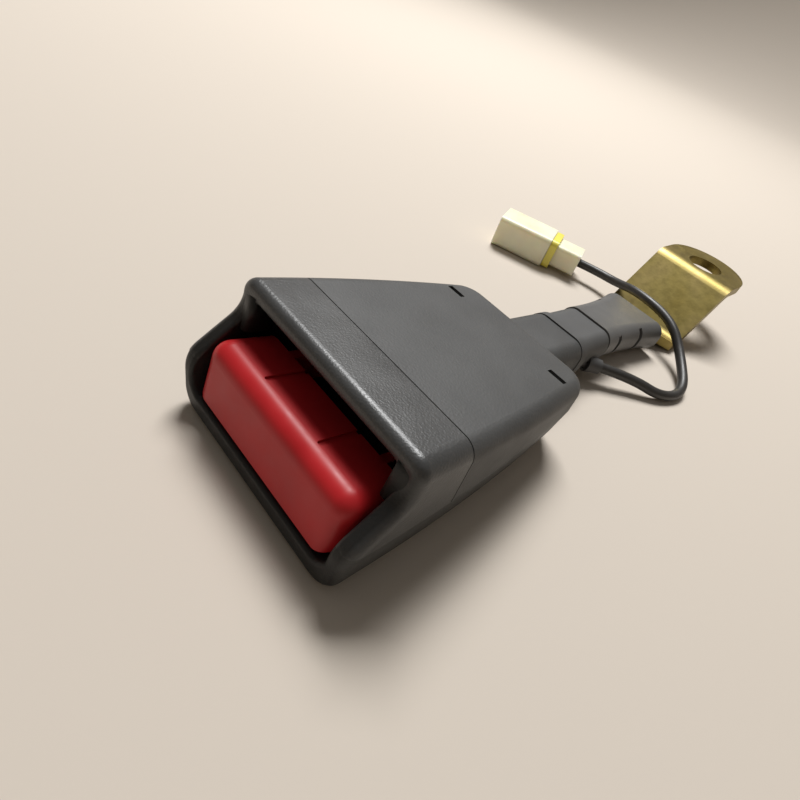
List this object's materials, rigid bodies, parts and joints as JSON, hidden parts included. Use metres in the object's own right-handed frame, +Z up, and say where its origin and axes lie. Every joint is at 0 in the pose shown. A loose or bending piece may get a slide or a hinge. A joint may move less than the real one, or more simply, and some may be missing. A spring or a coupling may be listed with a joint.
{
  "type": "seat belt buckle",
  "caption": "Front-release seat belt buckle with a red push button, a sprung latch and ejector in a wedge housing, a bent anchor strap in a sleeve and a sensor cable with a connector.",
  "frame": {"origin": "middle of the buckle's length and width, at the height of the surface it lies on; the free cable and its connector are left out", "axes": "+Y from the tongue mouth to the anchor tab, +Z up through the hood, +X to the cable's side"},
  "size_m": [0.0933, 0.194, 0.0272],
  "materials": {
    "hood_plastic": "fine grain, satin sheen",
    "cover_plastic": "spark-eroded matte grain",
    "base_plastic": "spark-eroded matte grain",
    "button_red": "smooth moulded",
    "spring_steel": "drawn wire",
    "frame_steel": "zinc plated sheet",
    "latch_steel": "hardened steel",
    "ejector_plastic": "natural acetal",
    "switch_plastic": "moulded",
    "contact_brass": "stamped",
    "wire_sheath": "smooth extruded",
    "cable_sheath": "smooth extruded",
    "yellow_zinc": "yellow passivated zinc",
    "boot_rubber": "moulded",
    "sleeve_plastic": "moulded",
    "connector_cream": "moulded",
    "connector_yellow": "moulded"
  },
  "bodies": {
    "housing": {"front_hood": "hood_plastic", "upper_cover": "cover_plastic", "lower_cover": "base_plastic", "button_springs": "spring_steel", "frame": "frame_steel", "latch_pivot_pin": "latch_steel", "latch_spring": "spring_steel", "ejector_spring": "spring_steel", "switch_housing": "switch_plastic", "switch_contacts": "contact_brass", "switch_wires": "wire_sheath", "inner_cable": "cable_sheath", "anchor_strap": "yellow_zinc", "strap_rivet": "yellow_zinc", "neck_boot": "boot_rubber", "strap_sleeve": "sleeve_plastic", "cable_grommet": "boot_rubber", "sensor_cable": "cable_sheath", "connector_housing": "connector_cream", "connector_lock": "connector_yellow", "connector_terminals": "contact_brass"},
    "button": {"release_button": "button_red"},
    "latch": {"latch": "latch_steel"},
    "ejector": {"ejector": "ejector_plastic", "switch_bridge": "contact_brass"}
  },
  "joints": [
    {"name": "button_press", "type": "slide", "parent": "housing", "child": "button", "axis": [0, 0.9895, -0.1443], "range_m": [0, 0.0065], "stiffness_N_per_m": 1200, "springref_m": -0.005, "deforming": ["button_springs"]},
    {"name": "latch_pivot", "type": "hinge", "parent": "housing", "child": "latch", "pos_m": [0, -0.04148, 0.00781], "axis": [1, 0, 0], "range_deg": [0, 11], "stiffness_Nm_per_rad": 0.2, "springref_deg": -11.46, "deforming": ["latch_spring"]},
    {"name": "ejector_slide", "type": "slide", "parent": "housing", "child": "ejector", "axis": [0, 0.9895, -0.1443], "range_m": [0, 0.008], "stiffness_N_per_m": 900, "springref_m": -0.006, "deforming": ["ejector_spring"]}
  ],
  "couplings": [
    {"joint": "latch_pivot", "follows": "button_press", "rad_per_m": 29.536}
  ]
}
